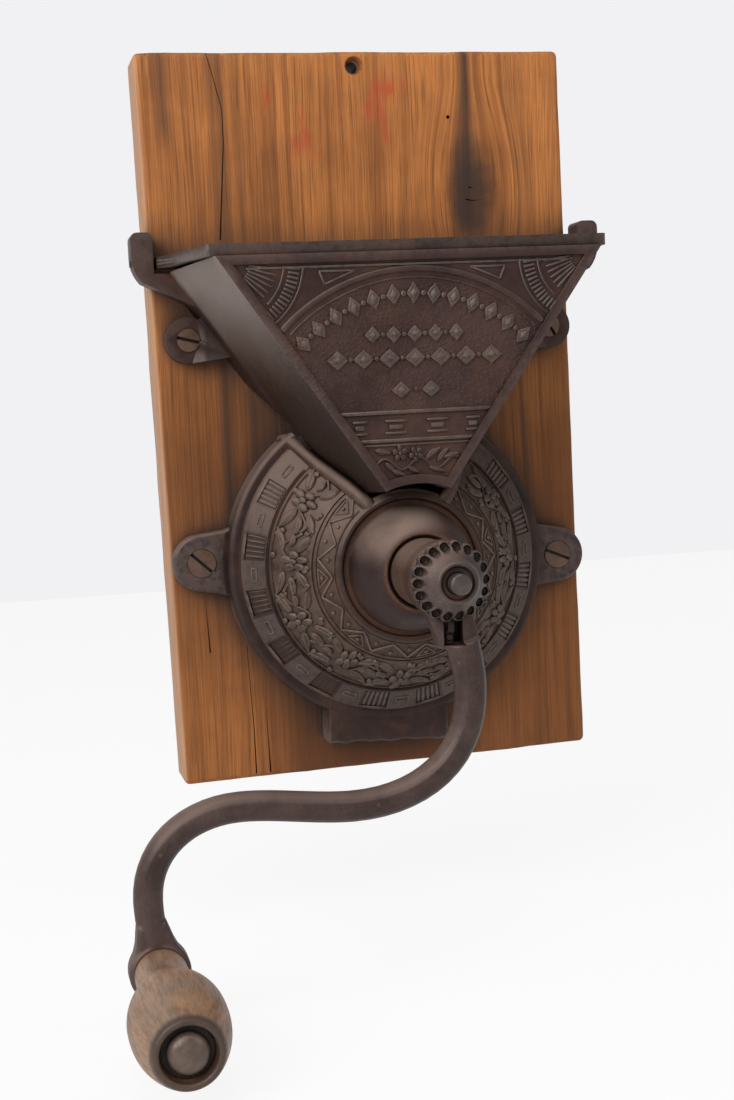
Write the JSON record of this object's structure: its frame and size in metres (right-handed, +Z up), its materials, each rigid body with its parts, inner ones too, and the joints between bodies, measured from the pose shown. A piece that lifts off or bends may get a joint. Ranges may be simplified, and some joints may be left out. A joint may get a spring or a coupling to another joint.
{
  "type": "wall mounted coffee mill",
  "caption": "Wall mounted coffee mill: cast hopper with hinged lid over a round ornamented grinder casing on a pine board, with a curved crank, wooden knob and scalloped grind regulator.",
  "frame": {"origin": "back face of the board, on the axis of the crank shaft", "axes": "+Z up the board, front of the mill towards -Y, +Y into the wall, +X to the right seen from the front"},
  "size_m": [0.2098, 0.1968, 0.3303],
  "materials": {
    "board_pine": "old oiled pine with open vertical grain",
    "mill_iron": "dark brown patinated cast iron, semi matt",
    "crank_iron": "dark hand polished cast iron with rust on the journal",
    "burr_iron": "bare chilled iron",
    "steel": "dull worn steel",
    "screw_steel": "brown tarnished steel",
    "knob_wood": "grey brown hand worn hardwood"
  },
  "bodies": {
    "mill_body": {"backboard": "board_pine", "hopper": "mill_iron", "lid_pins": "steel", "grinder_casing": "mill_iron", "back_plate": "burr_iron", "fixed_burr": "burr_iron", "fixed_burr_screws": "steel", "upper_screws": "screw_steel", "lower_screws": "screw_steel"},
    "lid": {"hopper_lid": "mill_iron"},
    "crank": {"crank": "crank_iron", "detent_spring": "steel", "detent_rivet": "steel", "knob_pin": "steel", "knob_washer": "steel"},
    "spindle": {"drive_shaft": "steel", "runner_burr": "burr_iron", "runner_pin": "steel"},
    "regulator": {"regulator_nut": "mill_iron"},
    "knob": {"wooden_knob": "knob_wood"}
  },
  "joints": [
    {"name": "crank_turn", "type": "hinge", "parent": "mill_body", "child": "crank", "pos_m": [0, -0.09, 0], "axis": [0, 1, 0], "continuous": true},
    {"name": "regulator_turn", "type": "hinge", "parent": "crank", "child": "regulator", "pos_m": [0, -0.125, 0], "axis": [0, 1, 0], "range_deg": [-360, 360], "deforming": ["detent_spring"]},
    {"name": "spindle_slide", "type": "slide", "parent": "crank", "child": "spindle", "axis": [0, -1, 0], "range_m": [-0.00141, 0.00141]},
    {"name": "knob_spin", "type": "hinge", "parent": "crank", "child": "knob", "pos_m": [-0.1035, -0.15, -0.1215], "axis": [0, 1, 0], "continuous": true},
    {"name": "lid_swing", "type": "hinge", "parent": "mill_body", "child": "lid", "pos_m": [0, -0.0276, 0.1153], "axis": [-1, 0, 0], "range_deg": [0, 94]}
  ],
  "couplings": [
    {"joint": "regulator_turn", "follows": "spindle_slide", "rad_per_m": 4452.7}
  ]
}
